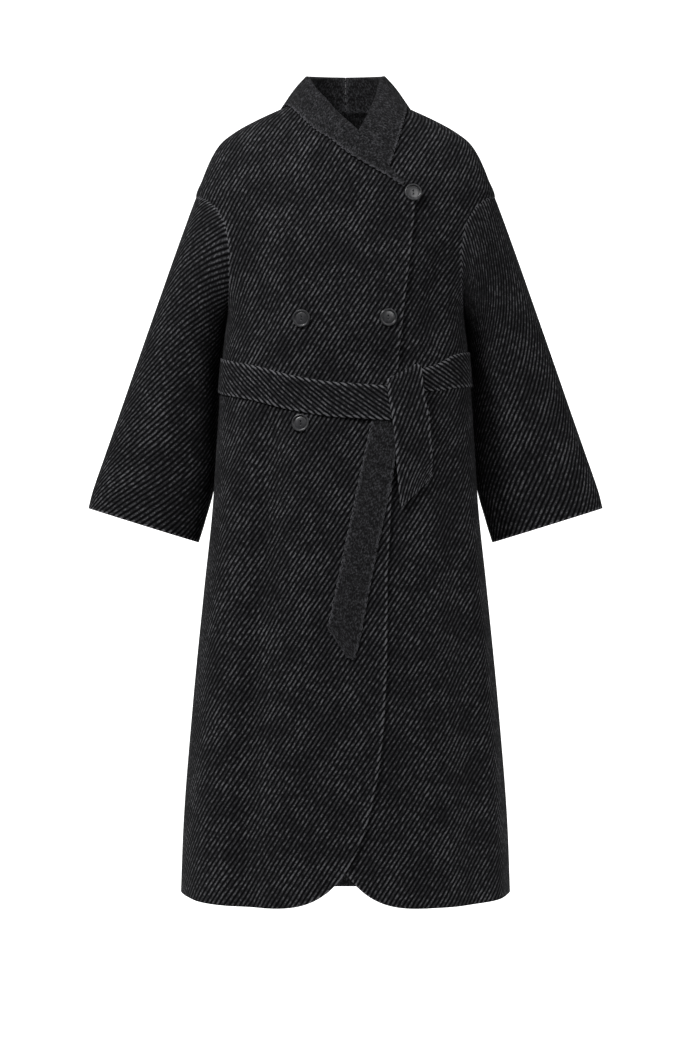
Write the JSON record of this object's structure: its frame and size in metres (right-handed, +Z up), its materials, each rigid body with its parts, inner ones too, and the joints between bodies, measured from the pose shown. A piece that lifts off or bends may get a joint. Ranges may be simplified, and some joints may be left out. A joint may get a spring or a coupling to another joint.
{
  "type": "double-breasted coat",
  "caption": "Long double-breasted wool coat with a folded shawl collar, wide straight sleeves, a tied cloth belt and rounded front corners, in its worn shape.",
  "frame": {"origin": "middle of the neck base, where the coat is carried on the shoulders; the coat hangs below it and the collar stands above it", "axes": "+Z up along the wearer, the front faces -Y, +X is the wearer's left"},
  "size_m": [0.7792, 0.3116, 1.2381],
  "materials": {
    "wool_twill": "thick black and grey wool twill, fuzzy and dull",
    "wool_reverse": "the same cloth's smooth felted reverse side, dark grey melange",
    "button_horn": "polished dark grey, horn look"
  },
  "bodies": {
    "root": {"front_right": "wool_twill", "front_left": "wool_twill", "back": "wool_twill", "sleeve_right": "wool_twill", "sleeve_left": "wool_twill", "collar_right": "wool_reverse", "collar_left": "wool_reverse", "belt_waist": "wool_twill", "belt_upper_tail": "wool_twill", "belt_under_tail": "wool_reverse", "button_top": "button_horn", "button_middle_left": "button_horn", "button_middle_right": "button_horn", "button_lower_right": "button_horn"}
  },
  "joints": []
}
